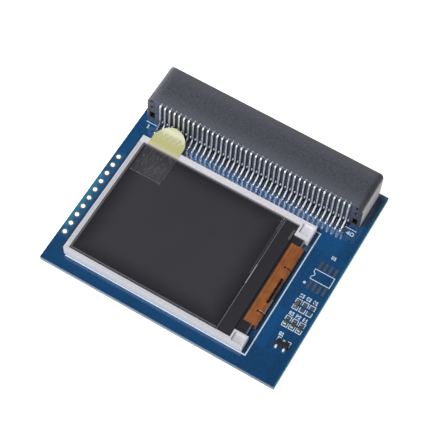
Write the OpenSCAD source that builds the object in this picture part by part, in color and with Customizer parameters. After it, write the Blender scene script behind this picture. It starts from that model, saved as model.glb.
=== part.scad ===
// Display expansion board: a colour display module on a circuit board,
// with a right-angle card edge connector along the rear edge.
// The origin is the centre of the board's underside, +X runs along the connector,
// +Y points to the connector's mouth and +Z points up.

/* [Board] */
// Thickness of the board
board_t = 1.6; // [0.8:0.1:2.4]
// Strip of board to the left of the display, for the header holes
left_strip = 3.9; // [3:0.1:8]
// Strip of board to the right of the display, for the chips
right_strip = 10.1; // [8:0.1:20]
// Strip of board in front of the display
front_strip = 3.4; // [1:0.1:10]
// Gap from the display to the toes of the connector's upper leads
toe_gap = 3.05; // [2:0.05:8]
// Strip of board that shows past the connector's mouth
rear_margin = 0.15; // [0:0.05:3]
// Thickness of the tinned copper lands
land_t = 0.04; // [0.03:0.01:0.1]

/* [Header holes] */
// Number of plated holes
hole_count = 10; // [2:1:12]
// Distance from hole to hole
hole_pitch = 2.54; // [2:0.01:3.5]
// Bore of a plated hole
hole_d = 1; // [0.6:0.05:1.2]
// Wall of the plated barrel
barrel_t = 0.05; // [0.03:0.01:0.1]
// Width of the ring around the barrel
ring_w = 0.25; // [0.15:0.05:0.35]
// Play between the barrel and the drilled hole
barrel_play = 0.01; // [0.005:0.005:0.03]
// Holes' distance from the left edge
hole_x = 1.3; // [0.9:0.05:1.8]
// First hole's distance from the front edge
hole_y = 8.2; // [2:0.1:14]

/* [Connector housing] */
// Depth of the housing from the lead side to the mouth
housing_d = 10.55; // [9.5:0.05:14]
// Height of the housing above the board
housing_h = 8.8; // [8:0.1:12]
// Housing beyond the first upper contact
left_block = 3.85; // [3:0.05:6]
// Housing beyond the last upper contact
right_block = 3.4; // [3:0.05:6]
// Radius of the two edges across the ends of the top
end_r = 1.8; // [0.2:0.1:2]
// Radius of the two upright edges beside the mouth
corner_r = 0.7; // [0.3:0.1:1]
// Radius of the housing's other outer edges
edge_r = 0.2; // [0.1:0.05:0.5]
// Shift of the connector from the board's centre line
connector_shift = -0.25; // [-1:0.05:1]
// Depth of the card slot
slot_depth = 8; // [6.5:0.1:8.5]
// Card slot beyond the first and last upper contact
slot_side = 1.25; // [1:0.05:1.5]
// Height of the card's mid-plane above the board
slot_z = 4.6; // [4.2:0.1:5]
// Thickness of the card that plugs in
card_t = 1.6; // [1.2:0.1:1.8]
// Play of the card in the slot
card_play = 0.2; // [0.1:0.05:0.4]
// Bevel of the slot's mouth
mouth_bevel = 0.6; // [0.2:0.1:0.8]
// Wall between the mouth and the contacts' channels
mouth_wall = 0.9; // [0.6:0.1:1.2]
// Depth of the open notch over each upper contact
notch_d = 0.5; // [0.2:0.1:1]
// Diameter of the two locating pegs
peg_d = 1.5; // [1:0.1:2]
// Play of a peg in its hole
peg_play = 0.05; // [0.02:0.01:0.1]
// Pegs' distance from the housing's ends
peg_edge = 1.7; // [1.2:0.1:2.5]
// Pegs' distance from the mouth
peg_back = 4; // [2:0.1:6]
// How far a peg stops short of the board's underside
peg_short = 0.2; // [0.1:0.1:0.6]

/* [End pockets] */
// Pockets' distance from the housing's ends
pocket_edge = 1.4; // [1:0.05:1.6]
// Depth of the moulded pockets
pocket_d = 1.2; // [0.5:0.1:1.6]
// Width of the two small pockets
pocket_w = 0.9; // [0.5:0.1:1.2]
// Height of the two small pockets
pocket_h = 1.1; // [0.6:0.1:1.4]
// Small pockets' distance below the housing's top
pocket_top = 0.35; // [0.3:0.05:0.6]
// Distance from one small pocket to the next
pocket_pitch = 2.4; // [1.8:0.1:2.6]
// Width of the large pocket at the foot
foot_pocket_w = 1.3; // [0.8:0.1:1.8]
// Height of the large pocket at the foot
foot_pocket_h = 2.5; // [1:0.1:2.6]
// Large pocket's distance above the board
foot_pocket_z = 0.9; // [0.4:0.1:1.2]

/* [Contacts] */
// Number of contacts in each row
contact_count = 40; // [4:1:42]
// Distance from contact to contact
contact_pitch = 1.27; // [1.2:0.01:1.4]
// Width of a contact
contact_w = 0.4; // [0.3:0.01:0.5]
// Thickness of the contact strip
contact_t = 0.25; // [0.15:0.01:0.3]
// Play of a contact in its channel
contact_play = 0.05; // [0.02:0.01:0.1]
// Radius of the bends, along the strip's middle
bend_r = 0.4; // [0.3:0.05:0.5]
// Upper tails' distance below the housing's top
tail_drop = 0.4; // [0.3:0.05:0.8]
// Height of the lower tails above the board
low_tail_z = 1.9; // [1.6:0.1:2.6]
// How far the contacts press into the card
preload = 0.2; // [0.1:0.05:0.4]
// Contact point's distance from the mouth
touch_back = 2.6; // [2.3:0.1:3.2]
// Contact tip's distance from the mouth
tip_back = 1.5; // [1.3:0.1:1.8]
// How far the tip turns away from the card
tip_rise = 0.7; // [0.3:0.1:1]
// Spring root's distance from the slot's rear wall
root_run = 1.2; // [0.9:0.1:1.6]
// Leads' distance from the housing
lead_standoff = 0.45; // [0.3:0.05:1]
// Upper lead's reach from its upright part to its toe
foot_reach = 2.35; // [2:0.05:4]
// Length of the upper lead's flat foot
foot_l = 1; // [0.5:0.05:1.2]
// Height at which the upper lead turns outwards
heel_h = 1.3; // [1:0.1:2]
// Length of the lower lead's flat foot
low_foot_l = 0.6; // [0.5:0.05:1.2]
// Width of a lead's solder land
lead_land_w = 0.46; // [0.42:0.01:0.62]
// Land and solder beyond an upper lead's toe
land_toe = 0.25; // [0.1:0.05:0.4]

/* [Display module] */
// Length of the module
module_l = 46.3; // [40:0.1:60]
// Width of the module
module_w = 34.55; // [30:0.05:50]
// Width of the frame's left rail
rail_left = 1.1; // [0.8:0.05:2]
// Width of the frame's front rail
rail_front = 0.95; // [0.8:0.05:2]
// Width of the frame's rear rail
rail_rear = 1.45; // [0.8:0.05:2.5]
// Width of the frame's inner step, which carries the display
step_w = 0.6; // [0.3:0.05:1]
// Chamfer of the frame's front left corner
frame_chamfer = 0.4; // [0.2:0.1:2]
// Length of the two corner posts
post_l = 3.6; // [2:0.1:5]
// Width of the front corner post
front_post_w = 3.1; // [2:0.1:5]
// Width of the rear corner post
rear_post_w = 4.3; // [3:0.1:6]
// Wall around the recess on each post
post_wall = 0.5; // [0.3:0.05:0.8]
// Width of the recess on the front post
recess_w = 2.1; // [1:0.1:2.1]
// Depth of the recess on each post
recess_d = 0.4; // [0.1:0.05:0.5]
// Play around the glass, the films and the light guide
cell_play = 0.05; // [0.02:0.01:0.2]
// Module's length from the front glass to its right end
ledge_l = 7; // [6:0.1:9]
// Distance from the rear glass to the module's right end
glass_back = 1; // [0.6:0.1:2]
// Width of the beam that carries the glass at the right
beam_w = 2; // [1:0.1:3]

/* [Display layers] */
// Adhesive pad between the module and the board
pad_t = 0.2; // [0.15:0.05:1]
// Pad's distance from the frame's edges
pad_inset = 0.8; // [0.6:0.1:3]
// Reflector sheet
reflector_t = 0.12; // [0.05:0.01:0.3]
// Light guide
guide_t = 0.65; // [0.6:0.05:1.2]
// Diffuser film
diffuser_t = 0.1; // [0.05:0.01:0.2]
// Each of the two prism films
prism_t = 0.1; // [0.05:0.01:0.2]
// Black rim tape under the display
rim_t = 0.06; // [0.03:0.01:0.15]
// Rim tape's width inside the frame
rim_w = 1.5; // [1:0.1:3]
// Each of the two polarisers
polariser_t = 0.15; // [0.1:0.01:0.25]
// Polarisers' distance from the glass edges
polariser_inset = 0.2; // [0.1:0.05:0.4]
// Each of the two glass sheets
glass_t = 0.4; // [0.3:0.05:0.7]
// Protective film
film_t = 0.08; // [0.05:0.01:0.15]
// Protective film's distance from the polariser's edges
film_inset = 0.1; // [0.05:0.05:0.5]
// Row of lamps: its width along the module
lamp_bay = 0.75; // [0.6:0.05:1]
// Number of lamps
lamp_count = 3; // [1:1:4]
// Length of a lamp
lamp_l = 2.8; // [1.6:0.1:3.8]
// Height of a lamp
lamp_h = 0.5; // [0.3:0.05:0.55]
// Distance from lamp to lamp
lamp_pitch = 8; // [4:0.5:8.5]
// Lamp strip
lamp_strip_t = 0.1; // [0.05:0.01:0.15]
// Length of the driver chip
driver_l = 14; // [8:0.5:20]
// Width of the driver chip
driver_w = 1; // [0.6:0.1:1.5]
// Height of the driver chip
driver_h = 0.3; // [0.15:0.05:0.35]
// Driver chip's distance from the front glass
driver_gap = 1; // [0.5:0.1:1.5]
// Black tape over the driver chip
cover_t = 0.06; // [0.03:0.01:0.1]
// Width of the black tape
cover_w = 3.2; // [2.6:0.1:3.3]

/* [Flex circuit] */
// Thickness of the flex circuit
flex_t = 0.1; // [0.05:0.01:0.15]
// Flex circuit's distance from the front corner post
flex_front_gap = 3.2; // [0.5:0.1:5]
// Flex circuit's distance from the rear corner post
flex_rear_gap = 2.05; // [0.5:0.05:3]
// Flex circuit's overlap on the glass
flex_lap = 2.15; // [1.5:0.05:2.4]
// Length of the flex circuit under the module
flex_tail = 4.4; // [2:0.1:5]
// Width of the front leg
front_leg_w = 3.4; // [2:0.1:5]
// Width of the rear leg
rear_leg_w = 6.1; // [3:0.1:7]
// Width of the slits between the legs
slit_w = 0.3; // [0.1:0.05:0.6]
// Slits' reach over the glass
slit_reach = 0.5; // [0.2:0.1:1]
// Diameter of the relief hole at the end of a slit
relief_d = 0.6; // [0.5:0.05:1]
// Distance from the cut-out in the middle leg's bend to the slits
cutout_margin = 2.7; // [1:0.1:4]
// Cut-out's distance from the glass edge
cutout_x = 0.05; // [0.05:0.05:0.2]
// Width of the cut-out
cutout_w = 0.6; // [0.3:0.05:0.7]

/* [Pull tab] */
// Thickness of the pull tab
tab_t = 0.1; // [0.05:0.01:0.2]
// Width of the pull tab
tab_w = 8.15; // [5:0.05:12]
// Tab's distance from the module's left edge
tab_x = 2.05; // [1.2:0.05:6]
// Length of the tab that is stuck on the display
tab_stuck = 9.35; // [4:0.05:16]
// Gap between the tab's end and the leads
tab_clear = 0.4; // [0.2:0.05:1]
// Length of the tab's tip, which is folded up
tab_fold = 1.8; // [1:0.1:2.5]
// Rise of the tip
tab_lift = 0.75; // [0.2:0.05:1.5]
// Radius of the fold
tab_fold_r = 0.5; // [0.2:0.1:1]

/* [Chips] */
// Transistor's distance from the front edge
transistor_y = 9.5; // [4:0.05:14]
// Transistor's distance from the right edge
transistor_edge = 3.35; // [2.5:0.05:5]
// Front row of chips: distance from the transistor
front_row_gap = 5.55; // [4:0.05:8]
// Rear row of chips: distance from the front row
rear_row_gap = 4.8; // [3:0.1:8]
// Spare footprint: distance from the rear row
spare_gap = 8.4; // [6.5:0.1:12]
// Last chip's distance from the right edge
chip_edge = 1.75; // [1:0.05:3]
// Distance from chip to chip
chip_pitch = 1.72; // [1.2:0.01:2.2]
// Number of chips in a row
chip_columns = 3; // [1:1:3]
// Length of a chip
chip_l = 1.6; // [1.2:0.1:1.8]
// Width of a chip
chip_w = 0.8; // [0.5:0.05:0.9]
// Height of a resistor
resistor_h = 0.45; // [0.3:0.05:0.8]
// Number of capacitors in the rear row
capacitor_count = 1; // [1:1:3]
// Height of the capacitor
capacitor_h = 0.75; // [0.4:0.05:1]
// Length of a chip's end cap
cap_l = 0.3; // [0.2:0.05:0.5]
// Length of a solder fillet
fillet_l = 0.3; // [0.1:0.05:0.35]
// Length of a chip's land
chip_land_l = 0.9; // [0.7:0.05:1]
// Land that shows past the end of a chip
chip_land_out = 0.45; // [0.35:0.05:0.6]
// Number of lands on each side of the spare footprint
spare_count = 4; // [2:1:4]
// Distance from land to land on the spare footprint
spare_pitch = 1.27; // [1:0.01:1.3]
// Distance between the two rows of spare lands
spare_rows = 5.6; // [4:0.1:7]
// Length of a spare land
spare_land_l = 2.05; // [1:0.05:2.4]
// Width of a spare land
spare_land_w = 0.6; // [0.3:0.05:0.8]
// Last spare land's distance from the right edge
spare_edge = 1.4; // [1:0.05:3]

/* [Transistor] */
// Length of the moulded body
body_l = 2.9; // [2:0.1:3.5]
// Width of the moulded body
body_w = 1.3; // [1:0.1:1.6]
// Height of the moulded body
body_h = 0.95; // [0.8:0.05:1.3]
// Gap below the moulded body
body_gap = 0.1; // [0.05:0.01:0.2]
// Height of the body's upright sides
body_side = 0.5; // [0.4:0.05:0.6]
// Inward slope of the body's upper sides
body_slope = 0.12; // [0.05:0.01:0.25]
// Distance between the two front leads
leg_pitch = 1.9; // [1.6:0.05:2.2]
// Width of a lead
leg_w = 0.42; // [0.3:0.01:0.6]
// Thickness of a lead
leg_t = 0.13; // [0.1:0.01:0.2]
// Inner radius of a lead's bends
leg_inner_r = 0.02; // [0.01:0.01:0.05]
// Reach of a lead from the body
leg_reach = 0.6; // [0.5:0.05:0.8]
// Length of a lead's flat foot
leg_foot = 0.3; // [0.2:0.05:0.35]
// Length and width of a lead's land
leg_land = 0.8; // [0.6:0.05:1]

/* [Hidden] */
$fn = 48;
// Flat steps in each bend of a formed strip
bend_steps = 5;
// Flat steps in a wide arc of film
arc_steps = 14;
// Overshoot of a cut past the face that it opens
cut = 1;

// Board and connector, measured from the board's front left corner
board_l = left_strip + module_l + right_strip;
module_rear = front_strip + module_w;
toe_y = module_rear + toe_gap;
lead_y = toe_y + foot_reach;
housing_y = lead_y + lead_standoff;
mouth_y = housing_y + housing_d;
board_w = mouth_y + rear_margin;
span = (contact_count - 1) * contact_pitch;
housing_l = span + left_block + right_block;
connector_x = board_l / 2 + connector_shift;
housing_x = connector_x + (right_block - left_block) / 2;
slot_y = mouth_y - slot_depth;
slot_h = card_t + card_play;
peg_y = mouth_y - peg_back;
peg_x = housing_l / 2 - peg_edge;
pocket_x = housing_l / 2 - pocket_edge;

// Contacts: heights above the board and the clearances around the strip
tail_z = housing_h - tail_drop;
half_gap = card_t / 2 - preload + contact_t / 2;
foot_z = land_t + contact_t / 2;
channel_w = contact_w + 2 * contact_play;
channel_half = contact_t / 2 + contact_play;
root_y = slot_y + root_run;
channel_y = root_y - bend_r - contact_t;
low_shift = contact_pitch / 2;

// The strip of an upper contact: tip, contact point, tail, upright lead and foot
upper_path = [
    [mouth_y - tip_back, slot_z + half_gap + tip_rise],
    [mouth_y - touch_back, slot_z + half_gap],
    [root_y, tail_z],
    [lead_y, tail_z],
    [lead_y, land_t + heel_h],
    [toe_y + foot_l, foot_z],
    [toe_y, foot_z]
];

// The strip of a lower contact
lower_path = [
    [mouth_y - tip_back, slot_z - half_gap - tip_rise],
    [mouth_y - touch_back, slot_z - half_gap],
    [root_y, low_tail_z],
    [lead_y, low_tail_z],
    [lead_y, foot_z],
    [lead_y - low_foot_l, foot_z]
];

// Display layers: heights above the frame's underside
lamp_z = reflector_t + lamp_strip_t;
guide_top = reflector_t + guide_t;
prism_z = guide_top + diffuser_t;
step_z = prism_z + 2 * prism_t;
cell_z = step_z + rim_t;
rear_glass_z = cell_z + polariser_t;
front_glass_z = rear_glass_z + glass_t;
front_polariser_z = front_glass_z + glass_t;
film_z = front_polariser_z + polariser_t;
frame_h = film_z + film_t;

// Display plan, measured from the frame's front left corner
glass_end = module_l - glass_back;
front_glass_end = module_l - ledge_l;
opening_w = module_w - rail_front - rail_rear;
bay_x = rail_left + step_w;
bay_y = rail_front + step_w;
bay_end = glass_end - beam_w;
bay_w = opening_w - 2 * step_w;
guide_end = bay_end - lamp_bay;
post_x = module_l - post_l;
rear_post_y = module_w - rear_post_w;
rear_recess_y = rear_post_y + 2 * post_wall;
rear_recess_w = rear_post_w - 3.5 * post_wall;
flex_y = front_post_w + flex_front_gap;
flex_w = rear_post_y - flex_rear_gap - flex_y;
flex_start = glass_end - flex_lap;
flex_r = (pad_t + front_glass_z) / 2;
front_slit_y = flex_y + front_leg_w;
rear_slit_y = flex_y + flex_w - rear_leg_w;
cutout_l = rear_slit_y - front_slit_y - 2 * cutout_margin;

// Pull tab, measured from the frame's front left corner
tab_end = lead_y - contact_t / 2 - tab_clear - front_strip;
tab_reach = tab_end - module_w;
tab_slope = tab_lift / tab_fold;

// Chips, measured from the board's front left corner
transistor_x = board_l - transistor_edge;
front_row_y = transistor_y + front_row_gap;
rear_row_y = front_row_y + rear_row_gap;
spare_y = rear_row_y + spare_gap;
chip_land_y = chip_l / 2 + chip_land_out - chip_land_l / 2;
leg_z = land_t + body_gap + body_side / 2;
leg_r = leg_t / 2 + leg_inner_r;

function unit(v) = v / norm(v);

function turned(v, a) = [v.x * cos(a) - v.y * sin(a), v.x * sin(a) + v.y * cos(a)];

function arc(centre, r, from, to) =
    [for (i = [0 : arc_steps]) centre + turned([r, 0], from + (to - from) * i / arc_steps)];

// The corner b of a path from a to c, rounded to radius r
function corner(a, b, c, r) =
    let (u = unit(a - b))
    let (v = unit(c - b))
    let (half = acos(u * v) / 2)
    let (centre = b + unit(u + v) * r / sin(half))
    let (start = b + u * r / tan(half) - centre)
    let (sweep = -sign(cross(u, v)) * (180 - 2 * half))
    [for (i = [0 : bend_steps]) centre + turned(start, sweep * i / bend_steps)];

// A path with every inner corner rounded to radius r
function bent(points, r) = [
    points[0],
    for (i = [1 : len(points) - 2]) each corner(points[i - 1], points[i], points[i + 1], r),
    points[len(points) - 1]
];

// The outline of a strip of thickness t along a path
function strip(path, t) =
    let (last = len(path) - 1)
    let (way = [for (i = [1 : last]) unit(path[i] - path[i - 1])])
    let (mid = [for (i = [0 : last]) unit(way[max(i - 1, 0)] + way[min(i, last - 1)])])
    let (side = [for (i = [0 : last]) [-mid[i].y, mid[i].x] / (mid[i] * way[min(i, last - 1)])])
    concat(
        [for (i = [0 : last]) path[i] + side[i] * t / 2],
        [for (i = [last : -1 : 0]) path[i] - side[i] * t / 2]
    );

// Shapes drawn in the Y-Z plane, extruded along X
module along_x(w) rotate([90, 0, 90]) linear_extrude(w, center = true) children();

// Shapes drawn in the X-Z plane, extruded along Y
module along_y(w) rotate([90, 0, 0]) linear_extrude(w, center = true) children();

// The board's front left corner, on its upper face
module on_board() translate([-board_l / 2, -board_w / 2, board_t]) children();

// The display frame's front left corner, on its underside
module on_module() on_board() translate([left_strip, front_strip, pad_t]) children();

// The middle of the row of upper contacts, on the board
module on_connector() on_board() translate([connector_x, 0, 0]) children();

// The middle of the housing, on the board
module on_housing() on_board() translate([housing_x, 0, 0]) children();

module each_hole()
    on_board()
        for (i = [0 : hole_count - 1])
            translate([hole_x, hole_y + i * hole_pitch, 0]) children();

module each_contact(shift = 0)
    on_connector()
        for (i = [0 : contact_count - 1])
            translate([i * contact_pitch - span / 2 + shift, 0, 0]) children();

module each_end() for (side = [0, 1]) mirror([side, 0, 0]) children();

module each_chip(y, count = chip_columns)
    on_board()
        for (i = [0 : count - 1])
            translate([board_l - chip_edge - (chip_columns - 1 - i) * chip_pitch, y, 0]) children();

module each_chip_end() for (turn = [0, 180]) rotate(turn) children();

module each_leg()
    on_board()
        translate([transistor_x, transistor_y, 0]) {
            children();
            for (side = [-1, 1])
                translate([side * leg_pitch / 2, 0, 0]) rotate(180) children();
        }

module land(l, w) translate([-w / 2, -l / 2, 0]) cube([w, l, land_t]);

// A flat layer of the display module
module layer(x, y, z, l, w, t) on_module() translate([x, y, z]) cube([l, w, t]);

module circuit_board()
    color("#1b4f86")
        difference() {
            translate([-board_l / 2, -board_w / 2, 0]) cube([board_l, board_w, board_t]);
            each_hole() plated_hole_cut();
            on_housing() each_end() translate([peg_x, peg_y, -board_t - cut])
                cylinder(d = peg_d + 2 * peg_play, h = board_t + 2 * cut);
        }

// Drilled hole with a shallow seat for the ring on each face
module plated_hole_cut() {
    barrel_r = hole_d / 2 + barrel_t;
    translate([0, 0, -board_t - cut]) cylinder(r = barrel_r + barrel_play, h = board_t + 2 * cut);
    for (z = [-board_t - cut, -land_t])
        translate([0, 0, z]) cylinder(r = barrel_r + ring_w + barrel_play, h = land_t + cut);
}

module header_plating()
    color("#c9ccd0")
        each_hole() difference() {
            union() {
                translate([0, 0, -board_t]) cylinder(d = hole_d + 2 * barrel_t, h = board_t);
                for (z = [-board_t, -land_t])
                    translate([0, 0, z]) cylinder(d = hole_d + 2 * (barrel_t + ring_w), h = land_t);
            }
            translate([0, 0, -board_t - cut]) cylinder(d = hole_d, h = board_t + 2 * cut);
        }

// The room that a contact needs in the housing, from its tunnel to the card slot
module channel(z, roof) {
    to_card = sign(slot_z - z) * channel_half;
    along_x(channel_w)
        polygon([
            [housing_y - cut, z + to_card],
            [channel_y, z + to_card],
            [channel_y, slot_z],
            [mouth_y - mouth_wall, slot_z],
            [mouth_y - mouth_wall, z - to_card],
            [housing_y + notch_d, z - to_card],
            [housing_y + notch_d, roof],
            [housing_y - cut, roof]
        ]);
}

// A block of width w and height h, with its two upper corners rounded to radius r
module round_top(w, h, r) {
    translate([-w / 2, 0]) square([w, h - r]);
    translate([r - w / 2, 0]) square([w - 2 * r, h]);
    for (side = [-1, 1]) translate([side * (w / 2 - r), h - r]) circle(r);
}

// The moulded block: its end view, its side view and its plan all have rounded corners
module housing_block()
    intersection() {
        along_y(housing_d) round_top(housing_l, housing_h, end_r);
        along_x(housing_l) round_top(housing_d, housing_h, edge_r);
        linear_extrude(housing_h) {
            round_top(housing_l, housing_d / 2, corner_r);
            rotate(180) round_top(housing_l, housing_d / 2, edge_r);
        }
    }

module card_slot() {
    slot_l = span + 2 * slot_side;
    translate([-slot_l / 2, slot_y, slot_z - slot_h / 2]) cube([slot_l, slot_depth + cut, slot_h]);
    along_x(slot_l)
        polygon([
            [mouth_y - mouth_bevel, slot_z - slot_h / 2],
            [mouth_y, slot_z - slot_h / 2 - mouth_bevel],
            [mouth_y, slot_z + slot_h / 2 + mouth_bevel],
            [mouth_y - mouth_bevel, slot_z + slot_h / 2]
        ]);
}

module end_pockets()
    each_end() translate([pocket_x, housing_y, 0]) {
        for (i = [0, 1])
            translate([-pocket_w / 2, -cut, housing_h - pocket_top - pocket_h - i * pocket_pitch])
                cube([pocket_w, pocket_d + cut, pocket_h]);
        translate([-foot_pocket_w / 2, -cut, foot_pocket_z])
            cube([foot_pocket_w, pocket_d + cut, foot_pocket_h]);
    }

module connector_housing()
    color("#3a3a40")
        union() {
            difference() {
                on_housing() translate([0, housing_y + housing_d / 2, 0]) housing_block();
                on_connector() card_slot();
                on_housing() end_pockets();
                each_contact() channel(tail_z, housing_h + cut);
                each_contact(low_shift) channel(low_tail_z, low_tail_z - channel_half);
            }
            on_housing() each_end() translate([peg_x, peg_y, peg_short - board_t])
                cylinder(d = peg_d, h = board_t - peg_short);
        }

module upper_contacts()
    color("#d4d4d6")
        each_contact() along_x(contact_w) polygon(strip(bent(upper_path, bend_r), contact_t));

module lower_contacts()
    color("#d4d4d6")
        each_contact(low_shift) along_x(contact_w) polygon(strip(bent(lower_path, bend_r), contact_t));

module contact_lands()
    color("#b9bcc0") {
        each_contact() translate([0, toe_y + (foot_l - land_toe) / 2, 0])
            land(foot_l + land_toe, lead_land_w);
        each_contact(low_shift) translate([0, lead_y - low_foot_l / 2, 0])
            land(low_foot_l, lead_land_w);
    }

// A wedge of solder that runs from a toe of height h down to the land
module toe_solder(y, w, l, h)
    translate([0, y, land_t]) along_x(w) polygon([[0, 0], [0, h], [-l, 0]]);

module lead_solder()
    color("#dcdde0") each_contact() toe_solder(toe_y, contact_w, land_toe, contact_t);

module chip_lands()
    color("#b9bcc0") {
        for (y = [front_row_y, rear_row_y])
            each_chip(y) each_chip_end() translate([0, chip_land_y, 0]) land(chip_land_l, chip_w);
        each_leg() translate([0, body_w / 2 + leg_reach - leg_foot / 2, 0]) land(leg_land, leg_land);
    }

module spare_lands()
    color("#8f8f8e")
        on_board()
            for (i = [0 : spare_count - 1], side = [-1, 1])
                translate([board_l - spare_edge - i * spare_pitch, spare_y + side * spare_rows / 2, 0])
                    land(spare_land_l, spare_land_w);

module adhesive_pad()
    color("#e8e6df")
        layer(pad_inset, pad_inset, -pad_t, front_glass_end - pad_inset, module_w - 2 * pad_inset, pad_t);

module frame_outline()
    polygon([
        [frame_chamfer, 0],
        [module_l, 0],
        [module_l, front_post_w],
        [glass_end, front_post_w],
        [glass_end, rear_post_y],
        [module_l, rear_post_y],
        [module_l, module_w],
        [0, module_w],
        [0, frame_chamfer]
    ]);

// The opening above the display, which leaves the two corner posts standing
module frame_opening()
    polygon([
        [rail_left, rail_front],
        [post_x, rail_front],
        [post_x, front_post_w],
        [module_l, front_post_w],
        [module_l, rear_post_y],
        [post_x, rear_post_y],
        [post_x, rail_front + opening_w],
        [rail_left, rail_front + opening_w]
    ]);

module lcd_frame()
    color("#e9e6ea")
        on_module() difference() {
            linear_extrude(frame_h) frame_outline();
            translate([0, 0, step_z]) linear_extrude(frame_h) frame_opening();
            translate([rail_left, rail_front, step_z])
                cube([glass_end + cell_play - rail_left, opening_w, front_glass_z + cell_play - step_z]);
            translate([bay_x, bay_y, -cut]) cube([bay_end - bay_x, bay_w, front_glass_z + cut]);
            for (recess = [[post_wall, recess_w], [rear_recess_y, rear_recess_w]])
                translate([post_x + post_wall, recess[0], frame_h - recess_d])
                    cube([post_l - 2 * post_wall, recess[1], recess_d + cut]);
        }

// A film that lies in the frame's lower bay, up to the lamps or to the beam
module bay_layer(z, end, t)
    layer(
        bay_x + cell_play, bay_y + cell_play, z,
        end - bay_x - 2 * cell_play, bay_w - 2 * cell_play, t
    );

// A sheet of the display cell, set in from the frame's opening
module cell_layer(z, end, inset, t)
    layer(
        rail_left + cell_play + inset, rail_front + cell_play + inset, z,
        end - rail_left - cell_play - 2 * inset, opening_w - 2 * (cell_play + inset), t
    );

module reflector_sheet() color("#f2f2f0") bay_layer(0, bay_end, reflector_t);

module light_guide() color("#d8e6ea") bay_layer(reflector_t, guide_end, guide_t);

module diffuser_film() color("#eceeee") bay_layer(guide_top, guide_end, diffuser_t);

module lower_prism_film() color("#dfe5e6") bay_layer(prism_z, guide_end, prism_t);

module upper_prism_film() color("#dfe5e6") bay_layer(prism_z + prism_t, guide_end, prism_t);

module lamp_strip()
    color("#c46a2a")
        layer(
            guide_end, bay_y + cell_play, reflector_t,
            lamp_bay - cell_play, bay_w - 2 * cell_play, lamp_strip_t
        );

module backlight_lamps()
    color("#f4e9b0")
        for (i = [0 : lamp_count - 1])
            layer(
                guide_end + cell_play,
                bay_y + bay_w / 2 + (i - (lamp_count - 1) / 2) * lamp_pitch - lamp_l / 2,
                lamp_z, lamp_bay - 2 * cell_play, lamp_l, lamp_h
            );

module rim_tape()
    color("#17171a")
        difference() {
            cell_layer(step_z, glass_end - cell_play, 0, rim_t);
            layer(
                rail_left + rim_w, rail_front + rim_w, step_z - cut,
                front_glass_end - rail_left - 2 * rim_w, opening_w - 2 * rim_w, rim_t + 2 * cut
            );
        }

module rear_polariser()
    color("#2b2b30") cell_layer(cell_z, front_glass_end, polariser_inset, polariser_t);

module rear_glass() color("#4a4d55") cell_layer(rear_glass_z, glass_end, 0, glass_t);

module front_glass() color("#3f4147") cell_layer(front_glass_z, front_glass_end, 0, glass_t);

module front_polariser()
    color("#313136") cell_layer(front_polariser_z, front_glass_end, polariser_inset, polariser_t);

module protective_film()
    color("#55555a") cell_layer(film_z, front_glass_end, polariser_inset + film_inset, film_t);

module pull_tab()
    color("#cfcc86")
        on_module() intersection() {
            translate([tab_x + tab_w / 2, 0, frame_h + tab_t / 2])
                along_x(tab_w + cut)
                    polygon(strip(
                        bent([
                            [module_w - tab_stuck, 0],
                            [tab_end - tab_fold, 0],
                            [tab_end + tab_t, tab_lift + tab_t * tab_slope]
                        ], tab_fold_r),
                        tab_t
                    ));
            translate([tab_x, module_w - tab_stuck, 0])
                linear_extrude(frame_h + tab_lift + 2 * tab_t) tab_outline();
        }

module tab_outline() {
    square([tab_w, tab_stuck + tab_reach - tab_w / 2]);
    translate([tab_w / 2, tab_stuck + tab_reach - tab_w / 2]) circle(tab_w / 2);
}

module driver_chip()
    color("#202024")
        layer(
            front_glass_end + driver_gap, (module_w - driver_l) / 2, front_glass_z,
            driver_w, driver_l, driver_h
        );

module cover_tape()
    color("#26262b")
        layer(
            front_glass_end + cell_play, rail_front + cell_play, front_glass_z + driver_h,
            cover_w, opening_w - 2 * cell_play, cover_t
        );

// A slit from its relief hole over the bend, and on to the end of the tail below
module flex_slit(y)
    translate([glass_end - slit_reach, y, 0]) {
        cylinder(d = relief_d, h = front_glass_z + cut);
        translate([0, -slit_w / 2, -pad_t - cut]) cube([module_l, slit_w, frame_h + pad_t + cut]);
        translate([-module_l, -slit_w / 2, -pad_t - cut]) cube([2 * module_l, slit_w, pad_t + cut]);
    }

module flex_circuit()
    color("#b5652b")
        on_module() difference() {
            translate([0, flex_y + flex_w / 2, 0])
                along_y(flex_w)
                    polygon(strip(
                        concat(
                            [[flex_start, front_glass_z + flex_t / 2]],
                            arc([glass_end + flex_t, flex_r - pad_t + flex_t / 2], flex_r, 90, -90),
                            [[glass_end - flex_tail, flex_t / 2 - pad_t]]
                        ),
                        flex_t
                    ));
            flex_slit(front_slit_y);
            flex_slit(rear_slit_y);
            translate([glass_end + cutout_x, front_slit_y + cutout_margin, flex_r - pad_t])
                cube([cutout_w, cutout_l, frame_h]);
        }

module chip_body(h)
    translate([-chip_w / 2, cap_l - chip_l / 2, land_t]) cube([chip_w, chip_l - 2 * cap_l, h]);

module chip_cap(h) translate([-chip_w / 2, chip_l / 2 - cap_l, land_t]) cube([chip_w, cap_l, h]);

module chip_capacitor() color("#8a7468") each_chip(rear_row_y, capacitor_count) chip_body(capacitor_h);

module chip_resistors() color("#3b3b3f") each_chip(front_row_y) chip_body(resistor_h);

module chip_end_caps()
    color("#cfd0d2") {
        each_chip(front_row_y) each_chip_end() chip_cap(resistor_h);
        each_chip(rear_row_y, capacitor_count) each_chip_end() chip_cap(capacitor_h);
    }

module chip_solder()
    color("#dcdde0") {
        each_chip(front_row_y) each_chip_end() toe_solder(-chip_l / 2, chip_w, fillet_l, fillet_l);
        each_chip(rear_row_y, capacitor_count) each_chip_end()
            toe_solder(-chip_l / 2, chip_w, fillet_l, fillet_l);
    }

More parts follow.
